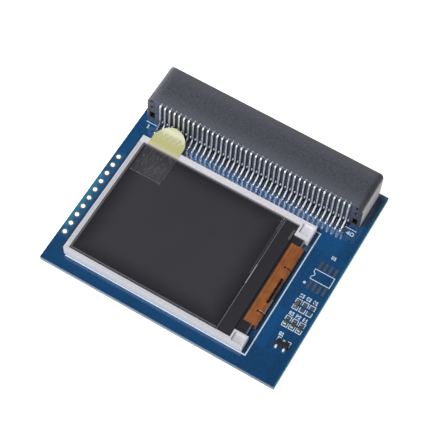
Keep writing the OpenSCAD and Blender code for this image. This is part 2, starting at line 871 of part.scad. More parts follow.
module transistor_body()
    color("#1f1f22")
        on_board() translate([transistor_x, transistor_y, land_t + body_gap])
            along_x(body_l)
                polygon([
                    [-body_w / 2, 0],
                    [body_w / 2, 0],
                    [body_w / 2, body_side],
                    [body_w / 2 - body_slope, body_h],
                    [body_slope - body_w / 2, body_h],
                    [-body_w / 2, body_side]
                ]);

module transistor_leads()
    color("#d4d4d6")
        each_leg() along_x(leg_w)
            polygon(strip(
                bent([
                    [body_w / 2, leg_z],
                    [body_w / 2 + leg_reach - leg_foot, leg_z],
                    [body_w / 2 + leg_reach - leg_foot, land_t + leg_t / 2],
                    [body_w / 2 + leg_reach, land_t + leg_t / 2]
                ], leg_r),
                leg_t
            ));

circuit_board();
header_plating();
connector_housing();
upper_contacts();
lower_contacts();
contact_lands();
lead_solder();
chip_lands();
spare_lands();
adhesive_pad();
lcd_frame();
reflector_sheet();
light_guide();
lamp_strip();
backlight_lamps();
diffuser_film();
lower_prism_film();
upper_prism_film();
rim_tape();
rear_polariser();
rear_glass();
front_glass();
front_polariser();
protective_film();
pull_tab();
driver_chip();
cover_tape();
flex_circuit();
chip_capacitor();
chip_resistors();
chip_end_caps();
chip_solder();
transistor_body();
transistor_leads();
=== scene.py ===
import math

import bpy
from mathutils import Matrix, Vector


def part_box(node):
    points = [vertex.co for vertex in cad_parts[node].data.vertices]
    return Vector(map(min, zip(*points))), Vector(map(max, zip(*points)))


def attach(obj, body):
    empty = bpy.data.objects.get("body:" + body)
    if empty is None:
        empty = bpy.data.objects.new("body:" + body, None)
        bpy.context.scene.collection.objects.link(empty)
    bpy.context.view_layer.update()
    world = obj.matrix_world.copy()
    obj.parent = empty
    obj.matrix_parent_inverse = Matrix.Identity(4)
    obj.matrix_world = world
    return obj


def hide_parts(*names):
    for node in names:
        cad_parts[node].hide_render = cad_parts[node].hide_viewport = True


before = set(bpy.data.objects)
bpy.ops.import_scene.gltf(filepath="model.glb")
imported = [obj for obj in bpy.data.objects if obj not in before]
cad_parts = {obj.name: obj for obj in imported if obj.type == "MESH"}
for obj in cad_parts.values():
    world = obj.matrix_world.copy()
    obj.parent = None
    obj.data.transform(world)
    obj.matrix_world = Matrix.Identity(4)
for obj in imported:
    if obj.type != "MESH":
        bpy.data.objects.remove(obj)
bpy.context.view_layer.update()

# Circuit board: woven glass laminate with a copper pour under glossy blue solder mask on both faces.
# It is routed out of a panel, so its edges show the pale laminate where no mask has run over them.
mm = 0.001
board_low, board_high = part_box("circuit_board")


def at(x, y, z=0.0):
    """A point in millimetres from the board's front left corner, on its upper face."""
    return (board_low.x + x * mm, board_low.y + y * mm, board_high.z + z * mm)


def srgb(code):
    """A colour written as sRGB hex, in linear light."""
    parts = [int(code[i : i + 2], 16) / 255 for i in (1, 3, 5)]
    return [p / 12.92 if p <= 0.04045 else ((p + 0.055) / 1.055) ** 2.4 for p in parts] + [1.0]


def add(tree, kind, inputs=None, **settings):
    """Adds a shader node with its options, and links or sets each of its inputs."""
    made = tree.nodes.new("ShaderNode" + kind)
    for key, value in settings.items():
        setattr(made, key, value)
    for key, value in (inputs or {}).items():
        if isinstance(value, bpy.types.NodeSocket):
            tree.links.new(value, made.inputs[key])
        else:
            made.inputs[key].default_value = value
    return made


def material(name, **values):
    """A material whose shader holds plain values, with its tree and its shader."""
    made = bpy.data.materials.new(name)
    made.use_nodes = True
    shader = made.node_tree.nodes["Principled BSDF"]
    for key, value in values.items():
        shader.inputs[key.replace("_", " ")].default_value = value
    return made, made.node_tree, shader


# The mask is a deep blue gloss coat that follows the weave below it very faintly.
# It is a little lighter towards the rear, and uneven in blotches of about 0.8 mm.
mask, tree, shader = material("solder_masked_laminate", IOR=1.75)
place = add(tree, "TexCoord").outputs["Object"]
parts = add(tree, "SeparateXYZ", {"Vector": place}).outputs
normal = add(tree, "SeparateXYZ", {"Vector": add(tree, "NewGeometry").outputs["Normal"]}).outputs
cloud = add(tree, "TexNoise", {"Vector": place, "Scale": 1 / (12 * mm), "Detail": 4.0}).outputs["Fac"]
front = add(tree, "MixRGB", {"Fac": cloud, "Color1": srgb("#0a406c"), "Color2": srgb("#0e4d7e")})
rear = add(tree, "MixRGB", {"Fac": cloud, "Color1": srgb("#0d4a7c"), "Color2": srgb("#13588e")})
back = {"Value": parts["Y"], "From Min": at(0, 3)[1], "From Max": at(0, 16)[1]}
back = add(tree, "MapRange", back).outputs["Result"]
pour = add(tree, "MixRGB", {"Fac": back, "Color1": front.outputs["Color"], "Color2": rear.outputs["Color"]})
blotch = add(tree, "TexNoise", {"Vector": place, "Scale": 1 / (0.8 * mm), "Detail": 3.0}).outputs["Fac"]
blotch = {"Value": blotch, "From Min": 0.4, "From Max": 0.7, "To Max": 0.4}
blotch = add(tree, "MapRange", blotch).outputs["Result"]
face = add(tree, "MixRGB", {"Fac": blotch, "Color1": pour.outputs["Color"], "Color2": srgb("#08305a")})
face = face.outputs["Color"]


def within(tree, place, low, high, soft):
    """A mask that is 1 between two corner points and fades out over a soft rim in millimetres."""
    half = [(b - a) / 2 for a, b in zip(low, high)]
    middle = [(a + b) / 2 for a, b in zip(low, high)]
    offset = add(tree, "VectorMath", {0: place, 1: middle}, operation="SUBTRACT")
    offset = add(tree, "VectorMath", {0: offset.outputs["Vector"]}, operation="ABSOLUTE")
    over = add(tree, "VectorMath", {0: offset.outputs["Vector"], 1: half}, operation="SUBTRACT")
    parts = add(tree, "SeparateXYZ", {"Vector": over.outputs["Vector"]})
    most = add(tree, "Math", {0: parts.outputs["X"], 1: parts.outputs["Y"]}, operation="MAXIMUM")
    most = add(tree, "Math", {0: most.outputs["Value"], 1: parts.outputs["Z"]}, operation="MAXIMUM")
    fade = {"Value": most.outputs["Value"], "From Max": soft * mm, "To Min": 1.0, "To Max": 0.0}
    return add(tree, "MapRange", fade, interpolation_type="SMOOTHSTEP").outputs["Result"]


def patch(tree, place, under, low, high, soft, most, colour):
    """A colour with a patch of another one on it, soft at its rim, between two corner points."""
    share = within(tree, place, low, high, soft)
    share = add(tree, "Math", {0: share, 1: most}, operation="MULTIPLY").outputs["Value"]
    mixed = add(tree, "MixRGB", {"Fac": share, "Color1": under, "Color2": srgb(colour)})
    return mixed.outputs["Color"]


# Painted light: along the header holes there is no copper below it, so it is painted teal for the light
# from the table showing through.
face = patch(tree, place, face, at(-1.0, 10.1, -9), at(0.4, 25.1, 9), 1.5, 0.9, "#2185a6")
# Painted light and shade on the mask: it is painted darker where shade falls, between the lands of the
# leads, beside the connector, beside the display's left and right sides and along the board's right end,
# with a grey painted reflection of the housing's right end.
# It is painted paler where light from the table shows through it, round the header holes and along the
# right and rear rims, and in front of the leads, where they light it; two patches right of the display are
# lighter blue.
for x0, y0, x1, y1, soft, most, colour in (
    (0.3, 7.2, 2.3, 32.1, 0.5, 0.2, "#4f7a88"),
    (2.7, 4.0, 4.0, 38.0, 0.5, 0.4, "#293d40"),
    (50.2, 7.5, 51.0, 36.0, 0.2, 0.35, "#2c3c40"),
    (52.0, 7.5, 53.2, 16.5, 1.2, 0.5, "#0f5a98"),
    (52.0, 35.0, 56.0, 38.5, 1.5, 0.45, "#0f5a98"),
    (58.0, -1.0, 61.0, 31.0, 1.2, 0.2, "#0b2c48"),
    (58.8, 36.0, 61.0, 56.0, 2.0, 0.18, "#0b2038"),
    (58.2, 46.5, 61.0, 53.0, 1.0, 0.4, "#4c5056"),
    (59.9, 46.5, 61.0, 56.0, 0.5, 0.5, "#3f7490"),
    (58.0, 54.2, 61.0, 56.0, 1.3, 0.75, "#5a8ca4"),
    (60.1, -1.0, 61.0, 60.0, 0.3, 0.4, "#2b7392"),
    (4.8, 41.15, 55.7, 45.0, 0.3, 0.8, "#182a48"),
    (5.0, 38.0, 50.0, 41.0, 0.3, 0.65, "#486d9c"),
):
    face = patch(tree, place, face, at(x0, y0, -1), at(x1, y1, 9), soft, most, colour)
# Painted reflections of the leads: a pale streak runs from each land towards the display, lighter than the
# mask beside it. At the right end they are short.
lead_pitch = 1.27
foot_x = at(29.26, 0)[0]
near_foot = add(tree, "Math", {0: parts["X"], 1: foot_x}, operation="SUBTRACT").outputs["Value"]
near_foot = {0: near_foot, 1: lead_pitch / 2 * mm}
near_foot = add(tree, "Math", near_foot, operation="PINGPONG").outputs["Value"]
painted_lead_reflection = {"Value": near_foot, "From Min": 0.12 * mm, "From Max": 0.26 * mm, "To Min": 0.6, "To Max": 0.0}
painted_lead_reflection = add(tree, "MapRange", painted_lead_reflection).outputs["Result"]
strip = within(tree, place, at(13.0, 38.0, -1), at(50.0, 40.9, 9), 0.4)
short = within(tree, place, at(50.0, 39.4, -1), at(55.4, 40.9, 9), 0.4)
ahead = add(tree, "Math", {0: strip, 1: short}, operation="MAXIMUM").outputs["Value"]
painted_lead_reflection = add(tree, "Math", {0: painted_lead_reflection, 1: ahead}, operation="MULTIPLY").outputs["Value"]
face = add(tree, "MixRGB", {"Fac": painted_lead_reflection, "Color1": face, "Color2": srgb("#84a6c8")}).outputs["Color"]
# Darker slanted lines cross them at the pitch of the leads, also painted reflections.
slope = 1.48
crossing = {0: parts["Y"], 1: slope, 2: parts["X"]}
crossing = add(tree, "Math", crossing, operation="MULTIPLY_ADD").outputs["Value"]
crossing = {0: crossing, 1: lead_pitch / 2 * mm}
crossing = add(tree, "Math", crossing, operation="PINGPONG").outputs["Value"]
painted_dark_reflection = {"Value": crossing, "From Min": 0.15 * mm, "From Max": 0.3 * mm, "To Min": 0.55, "To Max": 0.0}
painted_dark_reflection = add(tree, "MapRange", painted_dark_reflection).outputs["Result"]
painted_dark_reflection = add(tree, "Math", {0: painted_dark_reflection, 1: strip}, operation="MULTIPLY").outputs["Value"]
face = add(tree, "MixRGB", {"Fac": painted_dark_reflection, "Color1": face, "Color2": srgb("#16335c")}).outputs["Color"]
# Below, ten tracks run side by side from the header holes and turn to the connector.
track_pitch = 1.27
track_x, track_y, _ = at(1.3, 31.7)
run_x = add(tree, "Math", {0: parts["X"], 1: track_x}, operation="SUBTRACT").outputs["Value"]
run_y = add(tree, "Math", {0: track_y, 1: parts["Y"]}, operation="SUBTRACT").outputs["Value"]
run = add(tree, "Math", {0: run_x, 1: run_y}, operation="MINIMUM").outputs["Value"]
lane = add(tree, "Math", {0: run, 1: track_pitch / 2 * mm}, operation="PINGPONG").outputs["Value"]
lane = {"Value": lane, "From Min": 0.14 * mm, "From Max": 0.2 * mm, "To Min": 1.0, "To Max": 0.0}
lane = add(tree, "MapRange", lane).outputs["Result"]
below = add(tree, "Math", {0: normal["Z"], 1: -0.5}, operation="LESS_THAN").outputs["Value"]
field = within(tree, place, at(1.3, 8.1, -9), at(36.3, 33.1, 0), 0.2)
lane = add(tree, "Math", {0: lane, 1: field}, operation="MULTIPLY").outputs["Value"]
lane = add(tree, "Math", {0: lane, 1: below}, operation="MULTIPLY").outputs["Value"]
face = add(tree, "MixRGB", {"Fac": lane, "Color1": face, "Color2": srgb("#17588c")}).outputs["Color"]
# The edge is cloudy, painted lighter towards the table for the light it throws up, and painted darker
# towards the right as painted shade. The mask has run a little over its upper rim, and at the right over
# all of it.
depth = {"Value": parts["Z"], "From Min": board_low.z, "From Max": board_high.z}
depth = add(tree, "MapRange", depth).outputs["Result"]
grain = add(tree, "TexNoise", {"Vector": place, "Scale": 1 / (0.3 * mm), "Detail": 3.0}).outputs["Fac"]
depth = add(tree, "Math", {0: grain, 1: 0.4, 2: depth}, operation="MULTIPLY_ADD").outputs["Value"]
laminate = add(tree, "MixRGB", {"Fac": depth, "Color1": srgb("#b2bec8"), "Color2": srgb("#667d90")})
rightward = {"Value": parts["X"], "From Min": at(12, 0)[0], "From Max": at(58, 0)[0], "To Max": 0.45}
rightward = add(tree, "MapRange", rightward).outputs["Result"]
laminate = {"Fac": rightward, "Color1": laminate.outputs["Color"], "Color2": srgb("#4a6072")}
laminate = add(tree, "MixRGB", laminate).outputs["Color"]
upper = {"Value": parts["Z"], "From Min": at(0, 0, -0.5)[2], "From Max": at(0, 0, -0.25)[2], "To Max": 0.95}
upper = add(tree, "MapRange", upper).outputs["Result"]
laminate = {"Fac": upper, "Color1": laminate, "Color2": srgb("#2c5578")}
laminate = add(tree, "MixRGB", laminate).outputs["Color"]
run_over = add(tree, "Math", {0: normal["X"], 1: 0.5}, operation="GREATER_THAN").outputs["Value"]
laminate = {"Fac": run_over, "Color1": laminate, "Color2": srgb("#2f8db0")}
laminate = add(tree, "MixRGB", laminate).outputs["Color"]
upright = add(tree, "Math", {0: normal["Z"]}, operation="ABSOLUTE").outputs["Value"]
edge = add(tree, "Math", {0: upright, 1: 0.5}, operation="LESS_THAN").outputs["Value"]
skin = add(tree, "MixRGB", {"Fac": edge, "Color1": face, "Color2": laminate}).outputs["Color"]
tree.links.new(skin, shader.inputs["Base Color"])
# The faces are glossy and the edge is matt. Flux has dulled the face between the lands.
matt = add(tree, "MapRange", {"Value": cloud, "To Min": 0.05, "To Max": 0.11}).outputs["Result"]
matt = add(tree, "Math", {0: edge, 1: 0.6, 2: matt}, operation="MULTIPLY_ADD").outputs["Value"]
dull = within(tree, place, at(4.8, 41.3, -1), at(55.7, 45.0, 9), 0.3)
matt = add(tree, "Math", {0: dull, 1: 0.4, 2: matt}, operation="MULTIPLY_ADD").outputs["Value"]
tree.links.new(matt, shader.inputs["Roughness"])
# Threads of the weave lie about 0.5 mm apart in both directions, and the tracks stand 8 times as high.
# A wave texture repeats after this length, divided by its scale.
wave_length = 0.314
track_rise = 8.0
weave_scale = wave_length / (0.5 * mm)
warp = add(tree, "TexWave", {"Vector": place, "Scale": weave_scale}, bands_direction="X").outputs["Fac"]
weft = add(tree, "TexWave", {"Vector": place, "Scale": weave_scale}, bands_direction="Y").outputs["Fac"]
weave = add(tree, "Math", {0: warp, 1: weft}, operation="MULTIPLY").outputs["Value"]
height = {0: lane, 1: track_rise, 2: weave}
height = add(tree, "Math", height, operation="MULTIPLY_ADD").outputs["Value"]
relief = add(tree, "Bump", {"Height": height, "Strength": 0.06, "Distance": 0.01 * mm})
tree.links.new(relief.outputs["Normal"], shader.inputs["Normal"])


def dress(node, finish):
    """Gives a solid of the frame its finish."""
    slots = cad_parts[node].data.materials
    slots.clear()
    slots.append(finish)


dress("circuit_board", mask)

# Copper tracks: etched lines under the mask of the chip strip, which stand a little proud of it.
# They join the spare footprint, the chips and the transistor.
track_w = 0.2
track_t = 0.02


def bars(name, lines, width, thickness, dots=()):
    """Flat bars, each from x0, y0 to x1, y1 on the board's upper face, with round dots among them."""
    # Bars that cross lie a hair above each other, so no two faces share a plane.
    hair, layers = 0.002, 5
    # They run past their ends a little, which closes the corners.
    overrun = width * 0.8
    bpy.ops.object.select_all(action="DESELECT")
    laid = []
    for i, (x0, y0, x1, y1) in enumerate(lines):
        middle = at((x0 + x1) / 2, (y0 + y1) / 2, i % layers * hair)
        turn = math.atan2(y1 - y0, x1 - x0)
        bpy.ops.mesh.primitive_plane_add(size=1, location=middle, rotation=(0, 0, turn))
        length = math.hypot(x1 - x0, y1 - y0) + overrun
        bpy.context.object.scale = (length * mm, width * mm, 1)
        laid.append(bpy.context.object)
    for x, y, r in dots:
        bpy.ops.mesh.primitive_circle_add(
            vertices=24, radius=r * mm, fill_type="NGON", location=at(x, y)
        )
        laid.append(bpy.context.object)
    for bar in laid:
        bar.select_set(True)
    piece = laid[0]
    bpy.context.view_layer.objects.active = piece
    bpy.ops.object.join()
    bpy.ops.object.transform_apply(location=True, rotation=True, scale=True)
    bpy.ops.object.mode_set(mode="EDIT")
    bpy.ops.mesh.select_all(action="SELECT")
    bpy.ops.mesh.extrude_region_move(TRANSFORM_OT_translate={"value": (0, 0, thickness * mm)})
    bpy.ops.mesh.select_all(action="SELECT")
    bpy.ops.mesh.normals_make_consistent(inside=False)
    bpy.ops.object.mode_set(mode="OBJECT")
    piece.name = name
    return piece


def path(*points):
    """The bars between points that follow each other."""
    return [(*a, *b) for a, b in zip(points, points[1:])]


routes = (
    path((55.09, 32.5), (53.5, 32.5), (52.57, 30.5), (52.29, 29.28), (53.03, 24.43))
    + path((53.03, 24.43), (53.99, 23.23), (54.95, 21.7))
    + path((56.73, 18.3), (56.73, 16.5))
    + path((58.5, 18.3), (58.5, 16.5))
    + path((56.73, 13.5), (56.73, 12.3), (56.95, 11.3))
    + path((57.63, 24.2), (57.63, 23), (58.5, 21.7))
)
tracks = bars("copper_tracks", routes, track_w, track_t)
# Copper under the mask gives it a slightly warmer, darker blue.
copper_mask, tree, shader = material("solder_masked_copper", IOR=1.54, Roughness=0.14)
place = add(tree, "TexCoord").outputs["Object"]
cloud = add(tree, "TexNoise", {"Vector": place, "Scale": 1 / (3 * mm)}).outputs["Fac"]
pour = add(tree, "MixRGB", {"Fac": cloud, "Color1": srgb("#15426f"), "Color2": srgb("#1b4c7c")})
tree.links.new(pour.outputs["Color"], shader.inputs["Base Color"])
tracks.data.materials.append(copper_mask)
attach(tracks, "root")

# Printed legend: white epoxy ink, screened on the mask in lines about 0.2 mm wide.
# It frames the display, the two end contacts, the spare footprint, the chips and the transistor.
ink_w = 0.18
word_w = 0.19
ink_t = 0.015
outline_w = 0.3
chip_x = (55.11, 56.83, 58.55)
chip_rows = (19.85, 15.05)
outline = bars(
    "display_outline",
    path((4.8, 3.27), (51.24, 3.27), (51.24, 38.02), (5.5, 38.02)),
    outline_w,
    ink_t,
)
legend = (
    path((55.26, 42.7), (57.99, 42.7))
    + path((1.75, 42.85), (4.44, 42.85))
    + path((54.5, 28.78), (54.5, 29.65), (59.4, 29.65), (59.4, 26.95), (54.5, 26.95), (54.5, 27.76))
    + path((55.4, 10), (55.4, 10.95), (56.05, 10.95))
    + path((57.85, 10.95), (58.55, 10.95), (58.55, 9.7))
)
notch_x, notch_y, notch_r = 54.5, 28.27, 0.51
notch = [math.radians(a) for a in range(-90, 91, 30)]
legend += path(*[(notch_x + notch_r * math.cos(a), notch_y + notch_r * math.sin(a)) for a in notch])
# Two brackets stand round each chip, with a gap between them at its middle.
bracket_half_w, bracket_end, bracket_tip = 0.63, 1.37, 0.32
for x in chip_x:
    left, right = x - bracket_half_w, x + bracket_half_w
    for y in chip_rows:
        for side in (-1, 1):
            base = y + side * bracket_end
            tip = y + side * bracket_tip
            legend += path((left, tip), (left, base), (right, base), (right, tip))
# Each letter is one stroke on a field of 1 by 1.
ring = ((0, 0.2), (0, 0.8), (0.25, 1), (0.75, 1), (1, 0.8), (1, 0.2), (0.75, 0))
strokes = {
    "0": (*ring, (0.25, 0), (0, 0.2)),
    "1": ((0.1, 0.75), (0.5, 1), (0.5, 0), (0.1, 0), (0.9, 0)),
    "2": ((0, 0.8), (0.25, 1), (0.75, 1), (1, 0.8), (1, 0.6), (0, 0), (1, 0)),
    "3": ((0, 1), (1, 1), (0.5, 0.6), (1, 0.4), (1, 0.15), (0.75, 0), (0.25, 0), (0, 0.15)),
    "4": ((0.75, 0), (0.75, 1), (0, 0.3), (1, 0.3)),
    "C": ((1, 0.8), (0.75, 1), (0.25, 1), (0, 0.8), (0, 0.2), (0.25, 0), (0.75, 0), (1, 0.2)),
    "R": ((0, 0), (0, 1), (0.75, 1), (1, 0.85), (1, 0.6), (0.75, 0.45), (0, 0.45), (0.5, 0.45), (1, 0)),
    "U": ((0, 1), (0, 0.2), (0.25, 0), (0.75, 0), (1, 0.2), (1, 1)),
    "Q": ((1, 0), (0.6, 0.3), (0.75, 0), (0.25, 0), *ring),
}
# Each word has its middle, its foot, and the width and height of one letter.
labels = [
    ("40", 56.95, 41.15, 0.7, 0.85),
    ("1", 2.85, 41.35, 0.4, 0.85),
    ("U1", 56.85, 33.75, 0.38, 0.72),
    ("Q1", 55.65, 11.4, 0.36, 0.8),
]
labels += [(f"C{3 - i}", x + 0.05, 21.8, 0.36, 0.8) for i, x in enumerate(chip_x)]
labels += [(f"R{3 - i}", x + 0.05, 16.85, 0.36, 0.8) for i, x in enumerate(chip_x)]
letter_gap = 0.24
letters = []
for word, x, y, wide, high in labels:
    step = wide + letter_gap
    for i, letter in enumerate(word):
        left = x + (i - (len(word) - 1) / 2) * step - wide / 2
        letters += path(*[(left + u * wide, y + v * high) for u, v in strokes[letter]])
marks = bars("legend_marks", legend, ink_w, ink_t, [(53.91, 25.44, 0.32)])
words = bars("legend_words", letters, word_w, ink_t)
# Screened ink is matt, and slightly thin where the mesh of the screen held it back.
ink, tree, shader = material("white_epoxy_ink", IOR=1.5)
place = add(tree, "TexCoord").outputs["Object"]
thin = add(tree, "TexNoise", {"Vector": place, "Scale": 1 / (0.4 * mm), "Detail": 2.0}).outputs["Fac"]
shade = add(tree, "MixRGB", {"Fac": thin, "Color1": srgb("#c8e6ff"), "Color2": srgb("#eaf7ff")})
tree.links.new(shade.outputs["Color"], shader.inputs["Base Color"])
matt = add(tree, "MapRange", {"Value": thin, "To Min": 0.45, "To Max": 0.65}).outputs["Result"]
tree.links.new(matt, shader.inputs["Roughness"])
for piece in (outline, marks, words):
    piece.data.materials.append(ink)
    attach(piece, "root")


# Lands and plated holes: copper levelled with hot tin, so each one is slightly domed and uneven.
# The eight lands of the spare footprint were never soldered, and have gone dull and brownish.
def mottled(name, dark, light, grain, rough, relief_mm, **values):
    """A finish with cloudy colour and gloss, and a relief of the same grain, in millimetres."""
    spread = 0.07
    made, tree, shader = material(name, **values)
    place = add(tree, "TexCoord").outputs["Object"]
    cloud = add(tree, "TexNoise", {"Vector": place, "Scale": 1 / (grain * mm), "Detail": 4.0})
    cloud = cloud.outputs["Fac"]
    tint = add(tree, "MixRGB", {"Fac": cloud, "Color1": srgb(dark), "Color2": srgb(light)})
    matt = add(tree, "MapRange", {"Value": cloud, "To Min": rough - spread, "To Max": rough + spread})
    grit = add(tree, "Bump", {"Height": cloud, "Strength": 0.5, "Distance": relief_mm * mm})
    tree.links.new(tint.outputs["Color"], shader.inputs["Base Color"])
    tree.links.new(matt.outputs["Result"], shader.inputs["Roughness"])
    tree.links.new(grit.outputs["Normal"], shader.inputs["Normal"])
    return made, tree, shader


# Levelled tin is a cloudy mirror, bright in patches. Old tin only glimmers.
levelled_tin = mottled("hot_levelled_tin", "#97a4b2", "#d0dbe7", 0.5, 0.3, 0.02, Metallic=1.0)[0]
aged_tin = mottled("aged_levelled_tin", "#545660", "#787880", 0.6, 0.5, 0.01, Metallic=0.6)[0]
for node in ("contact_lands", "chip_lands"):
    dress(node, levelled_tin)
dress("spare_lands", aged_tin)
# The barrels of the header holes are mirror bright and fill with light from the table.
# Only their rings on the faces have gone dull.
barrel, tree, shader = mottled("plated_barrel", "#828b96", "#a5afba", 0.4, 0.2, 0.01, Metallic=1.0)
normal = add(tree, "SeparateXYZ", {"Vector": add(tree, "NewGeometry").outputs["Normal"]}).outputs
upright = add(tree, "Math", {0: normal["Z"]}, operation="ABSOLUTE").outputs["Value"]
wall = add(tree, "Math", {0: upright, 1: 0.5}, operation="LESS_THAN").outputs["Value"]
tint = shader.inputs["Base Color"].links[0].from_socket
tint = add(tree, "MixRGB", {"Fac": wall, "Color1": tint, "Color2": srgb("#fcfcfa")})
tree.links.new(tint.outputs["Color"], shader.inputs["Base Color"])
matt = add(tree, "MapRange", {"Value": wall, "To Min": 0.45, "To Max": 0.08}).outputs["Result"]
tree.links.new(matt, shader.inputs["Roughness"])
dress("header_plating", barrel)


# Connector housing: one long moulding of glass-filled polyester, charcoal with a satin skin.
# It stands on the board on two pegs, and holds both rows of contacts.
def eased(node, name, edge_mm, finish):
    """A copy of a solid with its sharp edges rounded and its curves smooth, which stands for it."""
    piece = bpy.data.objects.new(name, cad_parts[node].data.copy())
    bpy.context.scene.collection.objects.link(piece)
    bpy.ops.object.select_all(action="DESELECT")
    piece.select_set(True)
    bpy.context.view_layer.objects.active = piece
    bpy.ops.mesh.customdata_custom_splitnormals_clear()
    bpy.ops.object.mode_set(mode="EDIT")
    bpy.ops.mesh.select_all(action="SELECT")
    bpy.ops.mesh.remove_doubles(threshold=0.001 * mm)
    bpy.ops.mesh.dissolve_limited(angle_limit=math.radians(1))
    bpy.ops.object.mode_set(mode="OBJECT")
    if edge_mm:
        rounding = piece.modifiers.new("rounding", "BEVEL")
        rounding.width = edge_mm * mm
        rounding.segments = 2
        rounding.limit_method = "ANGLE"
        rounding.angle_limit = math.radians(40)
        bpy.ops.object.modifier_apply(modifier=rounding.name)
    sharpest = 60 if edge_mm else 32
    bpy.ops.object.shade_smooth_by_angle(angle=math.radians(sharpest))
    shading = piece.modifiers.new("shading", "WEIGHTED_NORMAL")
    shading.keep_sharp = True
    bpy.ops.object.modifier_apply(modifier=shading.name)
    piece.data.materials.clear()
    piece.data.materials.append(finish)
    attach(piece, "root")
    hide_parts(node)
    return piece


housing_low, housing_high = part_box("connector_housing")
# The skin is painted lighter along its lead side, its mouth and its left end, standing in for the sheen and
# light that fall there, and the glass fibres in it give a sheen at a low angle. The wall behind the leads
# is painted a dark bluish grey for the shade of the leads and the board's reflection, the rim of the right
# end is painted dark as shade, and the end pockets are darker still.
moulding, tree, shader = mottled(
    "glass_filled_polyester", "#2c2e37", "#666873", 0.55, 0.45, 0.006, IOR=1.5, Sheen_Weight=0.5
)
shader.inputs["Sheen Roughness"].default_value = 0.3
place = add(tree, "TexCoord").outputs["Object"]
across = add(tree, "SeparateXYZ", {"Vector": place}).outputs
normal = add(tree, "SeparateXYZ", {"Vector": add(tree, "NewGeometry").outputs["Normal"]}).outputs
tint = shader.inputs["Base Color"].links[0].from_socket
for value, start, stop, most, colour in (
    (across["Y"], housing_low.y + 4.5 * mm, housing_low.y, 0.6, "#6a6d7b"),
    (across["Y"], housing_high.y - 4 * mm, housing_high.y, 0.65, "#66676e"),
    (across["X"], housing_low.x + 3 * mm, housing_low.x + 0.5 * mm, 0.6, "#7d7e85"),
    (normal["Y"], -0.6, -0.9, 0.9, "#3a4256"),
    (across["X"], housing_high.x - 2 * mm, housing_high.x - 0.3 * mm, 0.6, "#1c1d23"),
):
    painted_light_shade = {"Value": value, "From Min": start, "From Max": stop, "To Max": most}
    painted_light_shade = add(tree, "MapRange", painted_light_shade, interpolation_type="SMOOTHSTEP").outputs["Result"]
    tint = add(tree, "MixRGB", {"Fac": painted_light_shade, "Color1": tint, "Color2": srgb(colour)}).outputs["Color"]
# Painted shade: round the pockets of the left end it is darker, most of all beside them and along the
# board.
for low, high, most in (
    (at(1.75, 43.5, 0.7), at(3.35, 46, 8.0), 0.5),
    (at(1.65, 43.5, -1), at(2.0, 46, 8.4), 0.7),
    (at(1.65, 43.5, -1), at(4.5, 46, 0.5), 0.6),
):
    tint = patch(tree, place, tint, low, high, 0.15, most, "#20232c")
# The end pockets are painted near black, as painted shade.
for low_x, high_x in ((1.7, 3.4), (56.0, 57.4)):
    for low_z, high_z in ((0.85, 3.45), (4.85, 6.1), (7.3, 8.2)):
        low, high = at(low_x, 43.95, low_z), at(high_x, 46, high_z)
        tint = patch(tree, place, tint, low, high, 0.1, 1.0, "#15161b")
    # Painted light: the floors of the upper two are painted pale, where light falls on them.
    for low_z in (4.85, 7.3):
        low, high = at(low_x + 0.6, 43.9, low_z - 0.1), at(high_x, 46, low_z + 0.1)
        tint = patch(tree, place, tint, low, high, 0.05, 1.0, "#5d6373")
tree.links.new(tint, shader.inputs["Base Color"])
body = eased("connector_housing", "housing_moulding", 0, moulding)
# The right end face is painted pale, standing in for the light it catches at a low angle, and it also has
# more sheen.
painted_pale_end, tree, shader = mottled(
    "painted_pale_end_polyester", "#aca6b0", "#c6bec8", 0.55, 0.5, 0.01, IOR=1.5, Sheen_Weight=1.0
)
shader.inputs["Sheen Roughness"].default_value = 0.5
body.data.materials.append(painted_pale_end)
for side in body.data.polygons:
    if side.normal.x > 0.9 and side.center.x > housing_high.x - 0.3 * mm:
        side.material_index = 1

# Contacts: strips of phosphor bronze, stamped, formed and plated with tin.
# Stamping leaves their long edges slightly rounded, which is where they catch the light.
# Tin straight from the bath is a soft, whitish silver.
plated, tree, shader = mottled(
    "tin_plated_bronze", "#c6c9d0", "#e3e5ea", 0.7, 0.36, 0.004, Metallic=0.62
)
# Their feet are brightest, since solder has run up them.
place = add(tree, "TexCoord").outputs["Object"]
rise = add(tree, "SeparateXYZ", {"Vector": place}).outputs["Z"]
wetted = {"Value": rise, "From Min": at(0, 0, 3.2)[2], "From Max": at(0, 0, 1.6)[2], "To Max": 0.7}
wetted = add(tree, "MapRange", wetted).outputs["Result"]
tint = shader.inputs["Base Color"].links[0].from_socket
tint = add(tree, "MixRGB", {"Fac": wetted, "Color1": tint, "Color2": srgb("#eff4fc")}).outputs["Color"]
# Painted shade: the first one is darkened there, standing in for the shadow of the tab.
tint = patch(tree, place, tint, at(3.9, 40.0, -1), at(5.5, 44.0, 2.6), 0.2, 0.85, "#6a7484")
# Painted highlight: their upper bends are whitened, standing in for the light they catch.
painted_bend_highlight = {"Value": rise, "From Min": at(0, 0, 7.7)[2], "From Max": at(0, 0, 8.2)[2], "To Max": 0.7}
painted_bend_highlight = add(tree, "MapRange", painted_bend_highlight).outputs["Result"]
tint = add(tree, "MixRGB", {"Fac": painted_bend_highlight, "Color1": tint, "Color2": srgb("#ffffff")}).outputs["Color"]
tree.links.new(tint, shader.inputs["Base Color"])
eased("upper_contacts", "upper_contact_strips", 0.05, plated)
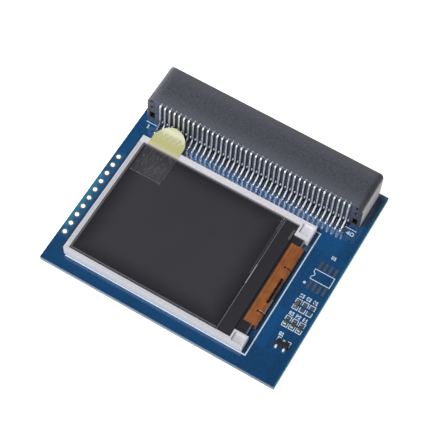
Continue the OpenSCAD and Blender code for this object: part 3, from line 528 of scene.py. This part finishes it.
# The lower row is painted dark, standing in for the shade it lies in, with a painted highlight on its
# bends.
shade_painted_plated, tree, shader = mottled(
    "shade_painted_bronze", "#33333f", "#4d4e5b", 0.5, 0.4, 0.004, Metallic=0.7
)
place = add(tree, "TexCoord").outputs["Object"]
tint = shader.inputs["Base Color"].links[0].from_socket
tint = patch(tree, place, tint, at(0, 42.5, 1.7), at(60, 43.8, 2.3), 0.15, 1.0, "#8f929d")
tree.links.new(tint, shader.inputs["Base Color"])
eased("lower_contacts", "lower_contact_strips", 0.03, shade_painted_plated)

# Solder: a bright fillet at the toe of each upper lead, and a duller one at both ends of each chip.
# It was molten, so its edges are round and its face is smooth.
bright_solder = mottled("reflowed_solder", "#d6dae2", "#f6f8fb", 0.4, 0.3, 0.01, Metallic=0.7)[0]
eased("lead_solder", "lead_toe_fillets", 0.05, bright_solder)
# Painted highlight: on the chips the middle of the resistors' front ends is whitened.
dull_solder, tree, shader = mottled("dull_solder", "#5c6470", "#8a929e", 0.4, 0.4, 0.01, Metallic=0.7)
place = add(tree, "TexCoord").outputs["Object"]
tint = shader.inputs["Base Color"].links[0].from_socket
for x in chip_x:
    tint = patch(tree, place, tint, at(x - 0.25, 14.2, 0), at(x + 0.2, 14.6, 1), 0.12, 1.0, "#ffffff")
tree.links.new(tint, shader.inputs["Base Color"])
eased("chip_solder", "chip_end_fillets", 0.06, dull_solder)

# Display frame: a thin white polycarbonate moulding, stuck to the board on a foam pad.
# Its rails hold the layers of the backlight, and its two posts at the right take the lamp tails.
# Polycarbonate with white pigment is milky, since light goes a little way into it, and its skin is matt.
milk, tree, shader = mottled(
    "white_polycarbonate", "#d4d3da", "#dfdde5", 0.35, 0.7, 0.003, IOR=1.58, Subsurface_Weight=0.05
)
# It is painted a shade whiter towards the rear, standing in for the light that falls there.
place = add(tree, "TexCoord").outputs["Object"]
back = {"Value": add(tree, "SeparateXYZ", {"Vector": place}).outputs["Y"]}
back |= {"From Min": at(0, 5)[1], "From Max": at(0, 36)[1]}
back = add(tree, "MapRange", back).outputs["Result"]
tint = shader.inputs["Base Color"].links[0].from_socket
tint = add(tree, "MixRGB", {"Fac": back, "Color1": tint, "Color2": srgb("#eeebf2")}).outputs["Color"]
# Its left rail is greyer.
tint = patch(tree, place, tint, at(4.1, 5.5, 2.0), at(5.2, 36.0, 3.0), 0.15, 1.0, "#cfced4")
# Painted light: its front side is painted whiter than its top, standing in for the light that falls on it.
painted_front_light = add(tree, "SeparateXYZ", {"Vector": add(tree, "NewGeometry").outputs["Normal"]}).outputs["Y"]
painted_front_light = {"Value": painted_front_light, "From Min": -0.5, "From Max": -0.95, "To Max": 0.55}
painted_front_light = add(tree, "MapRange", painted_front_light).outputs["Result"]
tint = add(tree, "MixRGB", {"Fac": painted_front_light, "Color1": tint, "Color2": srgb("#f3f1f4")}).outputs["Color"]
# Painted shade: the recess on each post is grey along its left and front walls, where shade falls.
for front_y, rear_y in ((3.9, 6.0), (34.65, 37.2)):
    for end_x, end_y in ((47.4, rear_y), (49.7, front_y + 0.2)):
        low, high = at(47.1, front_y, 1.9), at(end_x, end_y, 2.42)
        tint = patch(tree, place, tint, low, high, 0.08, 0.5, "#939198")
tree.links.new(tint, shader.inputs["Base Color"])
eased("lcd_frame", "display_frame", 0.07, milk)
# Foam tape is dead matt, with open cells at its cut sides.
dress("adhesive_pad", mottled("white_foam_tape", "#d8d5cb", "#eeece5", 0.2, 0.85, 0.03)[0])

# Backlight: a reflector, a moulded light guide, three lamps on a strip and three films, all sealed in.
# A black rim tape closes it and holds the display cell.
# The reflector is bright white with a slight gloss, and the guide below the films is clear as water.
dress("reflector_sheet", mottled("white_reflector", "#e9e9e6", "#f6f6f4", 2.0, 0.55, 0.002)[0])
acrylic = mottled(
    "clear_acrylic", "#dce8ec", "#eaf2f4", 3.0, 0.12, 0.002, Transmission_Weight=0.85, IOR=1.49
)
dress("light_guide", acrylic[0])
# The lamps are yellow, from the phosphor in their resin, on a strip of orange polyimide.
dress("lamp_strip", mottled("lamp_strip_polyimide", "#a9551f", "#c06c30", 0.6, 0.4, 0.003)[0])
dress("backlight_lamps", mottled("phosphor_resin", "#e6d88c", "#f4ecb8", 0.3, 0.35, 0.005)[0])
# The films look milky, and the tape is a satin black.
milky_film = mottled("milky_polyester_film", "#dfe4e5", "#eef1f1", 1.5, 0.5, 0.002)[0]
for node in ("diffuser_film", "lower_prism_film", "upper_prism_film"):
    dress(node, milky_film)
black_tape = mottled("black_polyester_tape", "#232227", "#2d2c32", 0.3, 0.35, 0.004, IOR=1.5)[0]
dress("rim_tape", black_tape)


# Display cell: two glass sheets between dark polarisers, with the factory's clear film on top.
# The rear sheet reaches further right as a ledge, which carries the driver chip and the flex circuit.
def pale_edged(name, dark, light, edge_colour, rough, rim_x):
    """A dark sheet whose cut edges are ground and pale, with a painted highlight along its right rim past
    rim_x.
    """
    made, tree, shader = mottled(name, dark, light, 4.0, rough, 0.001, IOR=1.52)
    tint = shader.inputs["Base Color"].links[0].from_socket
    normal = add(tree, "SeparateXYZ", {"Vector": add(tree, "NewGeometry").outputs["Normal"]}).outputs
    side = add(tree, "Math", {0: normal["Z"], 1: 0.5}, operation="LESS_THAN").outputs["Value"]
    place = add(tree, "TexCoord").outputs["Object"]
    rim = within(tree, place, at(rim_x, 0, 0), at(rim_x + 1, 60, 3), 0.04)
    side = add(tree, "Math", {0: side, 1: rim}, operation="MAXIMUM").outputs["Value"]
    tint = add(tree, "MixRGB", {"Fac": side, "Color1": tint, "Color2": srgb(edge_colour)}).outputs["Color"]
    # Glue has crept on to it from the rails, most of all from the rear one, and a dab of it closes the
    # filling hole in the right rim.
    for low, high, soft, most in (
        (at(4.0, 36.4, 0), at(43.0, 37.0, 3), 0.25, 1.0),
        (at(4.0, 4.0, 0), at(5.2, 37.0, 3), 0.25, 0.3),
        (at(43.04, 17.4, 0), at(43.3, 22.7, 3), 0.08, 1.0),
    ):
        tint = patch(tree, place, tint, low, high, soft, most, "#c4c0c6")
    tree.links.new(tint, shader.inputs["Base Color"])
    return made


# Glass over black looks black and mirrors sharply. A polariser is grey plastic with a softer gloss.
dress("rear_glass", pale_edged("rear_display_glass", "#2a2b30", "#33343a", "#8d9398", 0.1, 49.16))
dress("front_glass", pale_edged("front_display_glass", "#09090b", "#0f0f12", "#808186", 0.1, 43.06))
dark_sheet = pale_edged("grey_polariser", "#141317", "#1c1b20", "#5b5a60", 0.2, 43.0)
for node in ("rear_polariser", "front_polariser"):
    dress(node, dark_sheet)
# The film is clear and a little hazy, painted lighter in the middle as a painted reflection, with dust in
# specks up to 0.3 mm across.
film_low, film_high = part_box("protective_film")
haze, tree, shader = material("hazy_polyester_film", IOR=1.5)
place = add(tree, "TexCoord").outputs["Object"]
clear_w = 5.5 * mm
inner_low = (film_low.x + clear_w, film_low.y + clear_w, film_low.z - clear_w)
inner_high = (film_high.x - clear_w, film_high.y - clear_w, film_high.z + clear_w)
middle = within(tree, place, inner_low, inner_high, 7.0)
cloud = add(tree, "TexNoise", {"Vector": place, "Scale": 1 / (9 * mm), "Detail": 2.0}).outputs["Fac"]
speck_gap, speck_r, speck_share = 4.0, 0.168, 0.15
speck = add(tree, "TexVoronoi", {"Vector": place, "Scale": 1 / (speck_gap * mm)}).outputs
near = {0: speck["Distance"], 1: speck_r / speck_gap}
near = add(tree, "Math", near, operation="LESS_THAN").outputs["Value"]
pick = add(tree, "SeparateColor", {"Color": speck["Color"]}).outputs["Red"]
pick = add(tree, "Math", {0: pick, 1: 1 - speck_share}, operation="GREATER_THAN").outputs["Value"]
dust = add(tree, "Math", {0: near, 1: pick}, operation="MULTIPLY").outputs["Value"]
veil = add(tree, "MixRGB", {"Fac": cloud, "Color1": srgb("#5f5e65"), "Color2": srgb("#69686f")})
veil = add(tree, "MixRGB", {"Fac": middle, "Color1": srgb("#3c3b41"), "Color2": veil.outputs["Color"]})
veil = add(tree, "MixRGB", {"Fac": dust, "Color1": veil.outputs["Color"], "Color2": srgb("#a9a8ac")})
veil = veil.outputs["Color"]
cover = add(tree, "Math", {0: dust, 1: 0.4, 2: 0.4}, operation="MULTIPLY_ADD").outputs["Value"]
# Its rear edge has lifted off, and so have narrow strips at its right edge and its rear right corner.
# Each strip is given by how far its sides lie in from that corner.
for left, front, right, rear, soft, most in (
    (37.6, 0.0, -1.0, -1.0, 0.65, 0.65),
    (0.25, 3.5, 0.0, 0.3, 0.45, 0.3),
    (0.15, 16.0, 0.0, 0.3, 0.4, 0.27),
    (0.3, 0.4, 0.1, 0.2, 0.12, 0.9),
    (0.55, 1.3, 0.4, 1.1, 0.12, 0.7),
):
    low = (film_high.x - left * mm, film_high.y - front * mm, film_low.z - mm)
    high = (film_high.x - right * mm, film_high.y - rear * mm, film_high.z + mm)
    lifted = within(tree, place, low, high, soft)
    lifted = add(tree, "Math", {0: lifted, 1: most}, operation="MULTIPLY").outputs["Value"]
    veil = add(tree, "MixRGB", {"Fac": lifted, "Color1": veil, "Color2": srgb("#a6a6af")}).outputs["Color"]
    cover = add(tree, "Math", {0: lifted, 1: cover}, operation="MAXIMUM").outputs["Value"]
# Its cut edge stands up a little at the left and at the front, and shows as a thin pale line.
left_lip, front_lip = 0.156 * mm, 0.264 * mm
inner_low = (film_low.x + left_lip, film_low.y + front_lip, film_low.z - mm)
inner_high = (film_high.x + mm, film_high.y + mm, film_high.z + mm)
inner = within(tree, place, inner_low, inner_high, 0.03)
veil = add(tree, "MixRGB", {"Fac": inner, "Color1": srgb("#6f6d75"), "Color2": veil}).outputs["Color"]
tree.links.new(veil, shader.inputs["Base Color"])
cover = add(tree, "MapRange", {"Value": inner, "To Min": 0.9, "To Max": cover}).outputs["Result"]
tree.links.new(cover, shader.inputs["Alpha"])
matt = add(tree, "MapRange", {"Value": cloud, "To Min": 0.2, "To Max": 0.34}).outputs["Result"]
tree.links.new(matt, shader.inputs["Roughness"])
dress("protective_film", haze)

# Pull tab: a strip of clear tape stuck on the film, whose free end is backed with pale yellow.
# It lies over the rear rail and curls up towards the leads. The tape is glossy, and its backing is cloudy.
tab_tape, tree, shader = material("yellow_backed_tape", IOR=1.5)
place = add(tree, "TexCoord").outputs["Object"]
along = add(tree, "SeparateXYZ", {"Vector": place}).outputs["Y"]
free = {"Value": along, "From Min": at(0, 36.0)[1], "From Max": at(0, 36.6)[1]}
free = add(tree, "MapRange", free).outputs["Result"]
over_board = {"Value": along, "From Min": at(0, 36.6)[1], "From Max": at(0, 37.8)[1]}
over_board = add(tree, "MapRange", over_board).outputs["Result"]
cloud = add(tree, "TexNoise", {"Vector": place, "Scale": 1 / (2.5 * mm), "Detail": 3.0}).outputs["Fac"]
yellow = add(tree, "MixRGB", {"Fac": cloud, "Color1": srgb("#d2d18c"), "Color2": srgb("#d9d89b")})
yellow = yellow.outputs["Color"]
toward_tip = {"Value": along, "From Min": at(0, 38.8)[1], "From Max": at(0, 41.0)[1]}
toward_tip = add(tree, "MapRange", toward_tip).outputs["Result"]
yellow = {"Fac": toward_tip, "Color1": yellow, "Color2": srgb("#d9d9a8")}
yellow = add(tree, "MixRGB", yellow).outputs["Color"]
# Painted reflections of the leads: faint pale streaks lie on it at their own pitch.
turn = 0.35
slant = add(tree, "Mapping", {"Vector": place, "Rotation": (0, 0, turn)}).outputs["Vector"]
painted_lead_glint_scale = wave_length / (lead_pitch * math.cos(turn) * mm)
painted_lead_glint = {"Vector": slant, "Scale": painted_lead_glint_scale, "Distortion": 1.5, "Detail Scale": 2.0}
painted_lead_glint = add(tree, "TexWave", painted_lead_glint, bands_direction="X").outputs["Fac"]
painted_lead_glint = {"Value": painted_lead_glint, "From Min": 0.4, "From Max": 1.0, "To Max": 0.6}
painted_lead_glint = add(tree, "MapRange", painted_lead_glint).outputs["Result"]
band = within(tree, place, at(0, 39.4, -9), at(60, 40.8, 9), 0.5)
painted_lead_glint = add(tree, "Math", {0: painted_lead_glint, 1: band}, operation="MULTIPLY").outputs["Value"]
yellow = add(tree, "MixRGB", {"Fac": painted_lead_glint, "Color1": yellow, "Color2": srgb("#e6e4c4")}).outputs["Color"]
# The tip has been folded up, which has dulled it, and a painted highlight whitens it along the fold.
yellow = patch(tree, place, yellow, at(0, 41.5, -9), at(60, 41.9, 9), 0.35, 1.0, "#e6e6cc")
folded = {"Value": along, "From Min": at(0, 41.0)[1], "From Max": at(0, 41.2)[1]}
folded |= {"To Min": 0.05, "To Max": 0.6}
folded = add(tree, "MapRange", folded).outputs["Result"]
tree.links.new(folded, shader.inputs["Roughness"])
pale = add(tree, "MixRGB", {"Fac": over_board, "Color1": srgb("#e4dec0"), "Color2": yellow})
tint = add(tree, "MixRGB", {"Fac": free, "Color1": srgb("#98979c"), "Color2": pale.outputs["Color"]})
tree.links.new(tint.outputs["Color"], shader.inputs["Base Color"])
# Where it is stuck down it shows only scuffs, and the pale lines of its cut edges.
streaks = {"Vector": place, "Rotation": (0, 0, 0.5), "Scale": (1, 0.35, 1)}
streaks = add(tree, "Mapping", streaks).outputs["Vector"]
scuff = {"Vector": streaks, "Scale": 1 / (0.45 * mm), "Detail": 6.0, "Roughness": 0.7}
scuff = add(tree, "TexNoise", scuff).outputs["Fac"]
broken = {"Value": scuff, "From Min": 0.4, "From Max": 0.6, "To Min": 0.12, "To Max": 0.75}
broken = add(tree, "MapRange", broken).outputs["Result"]
scuff = {"Value": scuff, "From Min": 0.5, "From Max": 0.72, "To Min": 0.07, "To Max": 0.38}
scuff = add(tree, "MapRange", scuff).outputs["Result"]
tab_low, tab_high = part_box("pull_tab")
edge_w = 0.16 * mm
inner_low = (tab_low.x - edge_w, tab_low.y + edge_w, tab_low.z - edge_w)
inner_high = (tab_high.x - edge_w / 2, tab_high.y, tab_high.z)
inner = within(tree, place, inner_low, inner_high, 0.05)
rubbed = add(tree, "MapRange", {"Value": inner, "To Min": broken, "To Max": scuff}).outputs["Result"]
cover = add(tree, "MapRange", {"Value": free, "To Min": rubbed, "To Max": 0.93}).outputs["Result"]
tree.links.new(cover, shader.inputs["Alpha"])
eased("pull_tab", "pull_tab_tape", 0, tab_tape)

# Driver chip: a sliver of bare silicon, bonded face down on the glass ledge.
# A strip of black polyester tape over it keeps the light off, and has a pale streak near its rear end.
# Sawn silicon is a dark mirror, and the tape is satin.
dress("driver_chip", mottled("bare_silicon", "#1c1c20", "#2a2a30", 0.8, 0.2, 0.001, IOR=1.6)[0])
scuffed_tape, tree, shader = mottled(
    "scuffed_black_tape", "#29282d", "#35343a", 0.3, 0.35, 0.004, IOR=1.5
)
place = add(tree, "TexCoord").outputs["Object"]
tint = shader.inputs["Base Color"].links[0].from_socket
tint = patch(tree, place, tint, at(45.95, 32.0, 0), at(46.2, 34.5, 9), 0.2, 1.0, "#63625d")
# Glue has crept on to it from the rear rail.
tint = patch(tree, place, tint, at(43.0, 36.4, 0), at(47.0, 37.0, 3), 0.4, 1.0, "#a8a5ab")
tree.links.new(tint, shader.inputs["Base Color"])
dress("cover_tape", scuffed_tape)

# Flex circuit: copper lines between two sheets of orange polyimide, bonded to the glass ledge.
# Its three legs bend round the frame's right edge, and their tails are soldered below.
# Polyimide is a clear amber with a satin face, and the copper under it gives it its warm brown.
flex_skin, tree, shader = material("polyimide_flex", IOR=1.6)
place = add(tree, "TexCoord").outputs["Object"]
cloud = add(tree, "TexNoise", {"Vector": place, "Scale": 1 / (1.6 * mm), "Detail": 5.0}).outputs["Fac"]
amber = add(tree, "MixRGB", {"Fac": cloud, "Color1": srgb("#763b13"), "Color2": srgb("#c07238")})
# Copper lines run along the bend about 0.5 mm apart, and the cover sheet ends in a dark line.
lines = add(tree, "TexWave", {"Vector": place, "Scale": wave_length / (0.5 * mm)}, bands_direction="X")
lines = {"Value": lines.outputs["Fac"], "From Min": 0.5, "From Max": 0.9, "To Max": 0.35}
lines = add(tree, "MapRange", lines).outputs["Result"]
copper = add(tree, "MixRGB", {"Fac": lines, "Color1": amber.outputs["Color"], "Color2": srgb("#8a5a35")})
copper = copper.outputs["Color"]
copper = patch(tree, place, copper, at(47.75, 0, 0), at(47.9, 60, 3), 0.1, 0.3, "#5a3218")
# Beside the cut-out it is painted dark, widening the shade of the slot.
copper = patch(tree, place, copper, at(49.6, 16.4, 0), at(50.3, 22.6, 3), 0.1, 0.85, "#34333a")
# A pale line of glue shows along the middle leg's front corner.
bead = within(tree, place, at(48.9, 13.38, 0), at(50.4, 13.48, 3), 0.04)
turned = within(tree, place, at(50.15, 13.4, 0.9), at(50.5, 17.4, 3), 0.04)
bead = add(tree, "Math", {0: bead, 1: turned}, operation="MAXIMUM").outputs["Value"]
copper = add(tree, "MixRGB", {"Fac": bead, "Color1": copper, "Color2": srgb("#c4b08a")}).outputs["Color"]
tree.links.new(copper, shader.inputs["Base Color"])
matt = add(tree, "MapRange", {"Value": cloud, "To Min": 0.3, "To Max": 0.45}).outputs["Result"]
tree.links.new(matt, shader.inputs["Roughness"])
swell = add(tree, "Bump", {"Height": lines, "Strength": 0.4, "Distance": 0.01 * mm})
tree.links.new(swell.outputs["Normal"], shader.inputs["Normal"])
eased("flex_circuit", "flex_legs", 0, flex_skin)

# Chips: three thick-film resistors and a ceramic capacitor, with tinned caps at their ends.
# A resistor is a white alumina block, and only its upper face has the dark glaze.
# Fired titanate is a matt grey brown, the glaze has a gloss, and the caps are dull grey tin.
titanate = mottled("barium_titanate", "#534c50", "#6d6567", 0.3, 0.5, 0.004)[0]
eased("chip_capacitor", "capacitor_block", 0.05, titanate)
glaze, tree, shader = material("glazed_resistor", IOR=1.55, Roughness=0.3)
place = add(tree, "TexCoord").outputs["Object"]
cloud = add(tree, "TexNoise", {"Vector": place, "Scale": 1 / (0.3 * mm)}).outputs["Fac"]
normal = add(tree, "SeparateXYZ", {"Vector": add(tree, "NewGeometry").outputs["Normal"]}).outputs
top = add(tree, "Math", {0: normal["Z"], 1: 0.5}, operation="GREATER_THAN").outputs["Value"]
black = add(tree, "MixRGB", {"Fac": cloud, "Color1": srgb("#3a3d45"), "Color2": srgb("#4f525b")})
block = {"Fac": top, "Color1": srgb("#c9c6be"), "Color2": black.outputs["Color"]}
tree.links.new(add(tree, "MixRGB", block).outputs["Color"], shader.inputs["Base Color"])
eased("chip_resistors", "resistor_blocks", 0.04, glaze)
cap_tin = mottled("tinned_end_cap", "#7d7a7e", "#b2b1b5", 0.4, 0.35, 0.01, Metallic=1.0)[0]
eased("chip_end_caps", "chip_caps", 0.05, cap_tin)

# Transistor: a small body of black epoxy, moulded round three leads that are formed and soldered down.
# Moulded epoxy is a dull black, and the matt tin on the leads is nearly white.
epoxy = mottled("moulded_epoxy", "#131318", "#1b1b24", 0.2, 0.5, 0.006, IOR=1.55)[0]
eased("transistor_body", "transistor_block", 0.06, epoxy)
matt_tin = mottled("matt_tin", "#eceef2", "#fdfdfe", 0.3, 0.5, 0.004)[0]
eased("transistor_leads", "transistor_legs", 0.02, matt_tin)

# Studio: a white table and soft surroundings, brightest at the front left and dim behind and above.
# The camera sees the table as white, and the table keeps the board's soft shadow.
bpy.ops.object.select_all(action="DESELECT")
bpy.ops.mesh.primitive_plane_add(size=8, location=(0, 0, -0.02 * mm))
table = bpy.context.object
table.name = "table"
paper = bpy.data.materials.new("white_table")
paper.use_nodes = True
tree = paper.node_tree
tree.nodes.clear()
ray = add(tree, "LightPath").outputs
seen = add(tree, "Math", {0: ray["Is Camera Ray"], 1: ray["Is Glossy Ray"]}, operation="MAXIMUM")
seen = {0: seen.outputs["Value"], 1: ray["Is Transmission Ray"]}
seen = add(tree, "Math", seen, operation="MAXIMUM").outputs["Value"]
lift = add(tree, "Math", {0: seen, 1: 0.9}, operation="MULTIPLY").outputs["Value"]
lit = add(tree, "BsdfDiffuse", {"Color": (0.8, 0.8, 0.8, 1)})
white = add(tree, "Emission", {"Color": (1, 1, 1, 1), "Strength": lift})
both = add(tree, "AddShader", {0: lit.outputs["BSDF"], 1: white.outputs["Emission"]})
add(tree, "OutputMaterial", {"Surface": both.outputs["Shader"]})
table.data.materials.append(paper)

room = bpy.data.worlds.new("soft_room")
bpy.context.scene.world = room
room.use_nodes = True
tree = room.node_tree
tree.nodes.clear()
way = add(tree, "TexCoord").outputs["Generated"]
bright_side = (-0.5, -0.85, 0.15)
toward = add(tree, "VectorMath", {0: way, 1: bright_side}, operation="DOT_PRODUCT").outputs["Value"]
walls = {"Value": toward, "From Min": -0.2, "From Max": 0.9, "To Min": 0.5, "To Max": 1.3}
walls = add(tree, "MapRange", walls).outputs["Result"]
ceiling = {"Value": toward, "From Min": -0.1, "From Max": 0.9, "To Min": 0.1, "To Max": 0.4}
ceiling = add(tree, "MapRange", ceiling).outputs["Result"]
rise = add(tree, "SeparateXYZ", {"Vector": way}).outputs["Z"]
level = {"Value": rise, "From Min": 0.2, "From Max": 0.6, "To Min": walls, "To Max": ceiling}
level = add(tree, "MapRange", level, interpolation_type="SMOOTHSTEP").outputs["Result"]
# The camera itself sees the room as plain white.
ray = add(tree, "LightPath").outputs
level = {"Value": ray["Is Camera Ray"], "To Min": level, "To Max": 1.0}
level = add(tree, "MapRange", level).outputs["Result"]
sky = add(tree, "Background", {"Color": (1, 1, 1, 1), "Strength": level})
add(tree, "OutputWorld", {"Surface": sky.outputs["Background"]})

bpy.ops.object.light_add(
    type="AREA",
    location=(-0.13, -0.20, 0.44),
    rotation=(math.radians(28.5), 0, math.radians(-33.0)),
)
softbox = bpy.context.object
softbox.name = "softbox"
softbox.data.shape = "SQUARE"
softbox.data.size = 0.2
softbox.data.energy = 1.6

# Camera: it stands in front, to the right and well above, about 0.33 m away.
# Its long lens keeps the board's sides nearly parallel.
bpy.ops.object.camera_add(
    location=(0.065711, -0.136315, 0.294050),
    rotation=(math.radians(27.7845), math.radians(-2.2490), math.radians(30.3956)),
)
camera = bpy.context.object
camera.data.sensor_width = 36
camera.data.lens = 121.789
camera.data.clip_start = 0.01
bpy.context.scene.camera = camera
bpy.context.scene.view_settings.view_transform = "Standard"
